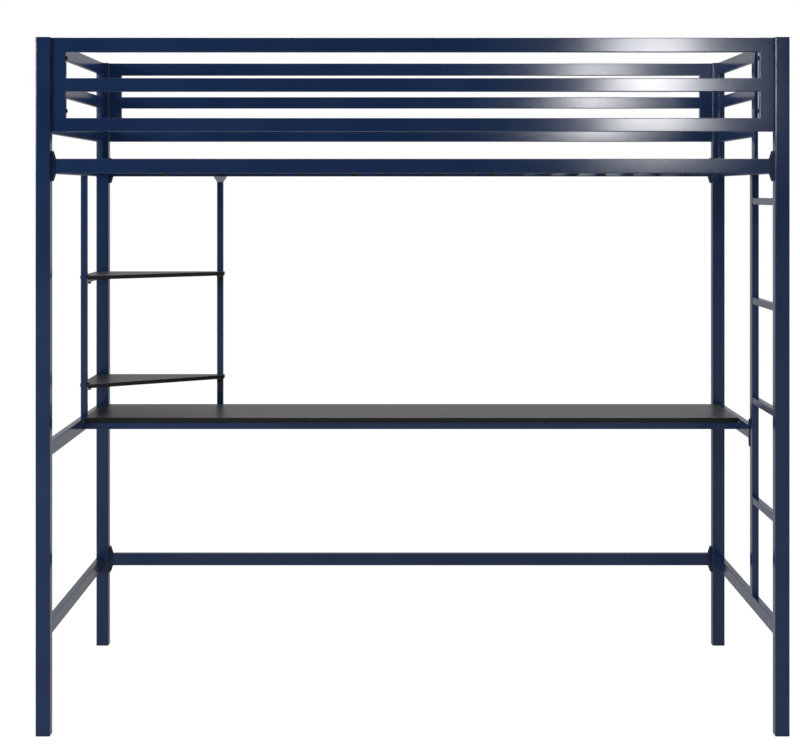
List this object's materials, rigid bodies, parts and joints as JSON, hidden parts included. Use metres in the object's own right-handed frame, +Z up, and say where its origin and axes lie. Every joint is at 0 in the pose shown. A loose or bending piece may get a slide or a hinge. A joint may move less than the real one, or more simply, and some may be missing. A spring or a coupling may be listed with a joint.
{
  "type": "loft_bed_with_desk",
  "caption": "Metal loft bed with slatted deck, guard rails, end ladder, full-length desk board and corner shelves.",
  "frame": {"origin": "on the floor, under the middle of the bed", "axes": "+X along the bed to the ladder end, +Y across it to the wall side, +Z up"},
  "size_m": [1.973, 1.054, 1.826],
  "materials": {
    "navy_steel": "gloss",
    "dark_board": "satin",
    "black_steel": "satin",
    "zinc_steel": "satin",
    "dark_plastic": "matte"
  },
  "bodies": {
    "root": {"post_front_left": "navy_steel", "post_front_right": "navy_steel", "post_back_left": "navy_steel", "post_back_right": "navy_steel", "post_caps": "dark_plastic", "foot_glides": "dark_plastic", "front_guard": "navy_steel", "back_guard": "navy_steel", "left_end_guard": "navy_steel", "right_end_guard": "navy_steel", "guard_end_plugs": "dark_plastic", "front_side_rail": "navy_steel", "back_side_rail": "navy_steel", "side_rail_brackets": "navy_steel", "slats": "navy_steel", "slat_holders": "dark_plastic", "bed_end_rail_left": "navy_steel", "bed_end_rail_right": "navy_steel", "desk_end_rail_left": "navy_steel", "desk_end_rail_right": "navy_steel", "desk_end_rail_bracket": "navy_steel", "bottom_end_rail_left": "navy_steel", "bottom_end_rail_right": "navy_steel", "lower_crossbar": "navy_steel", "crossbar_brackets": "navy_steel", "ladder_upright": "navy_steel", "ladder_rung_1": "navy_steel", "ladder_rung_2": "navy_steel", "ladder_rung_3": "navy_steel", "ladder_rung_4": "navy_steel", "desk_board": "dark_board", "desk_front_beam": "navy_steel", "desk_back_beam": "navy_steel", "beam_end_plugs": "zinc_steel", "shelf_upright_left": "navy_steel", "shelf_upright_right": "navy_steel", "shelf_upright_head": "navy_steel", "upper_shelf": "dark_board", "lower_shelf": "dark_board", "upper_shelf_bar": "navy_steel", "lower_shelf_bar": "navy_steel", "shelf_clips": "black_steel", "guard_bolts": "black_steel", "guard_spacers": "dark_plastic", "side_rail_bolts": "black_steel", "crossbar_bolts": "black_steel", "desk_end_rail_bolts": "black_steel", "desk_beam_bolts": "black_steel", "desk_board_screws": "zinc_steel", "shelf_bolts": "black_steel", "shelf_upright_bolts": "black_steel", "shelf_clip_screws": "zinc_steel", "insert_nuts": "zinc_steel"}
  },
  "joints": []
}
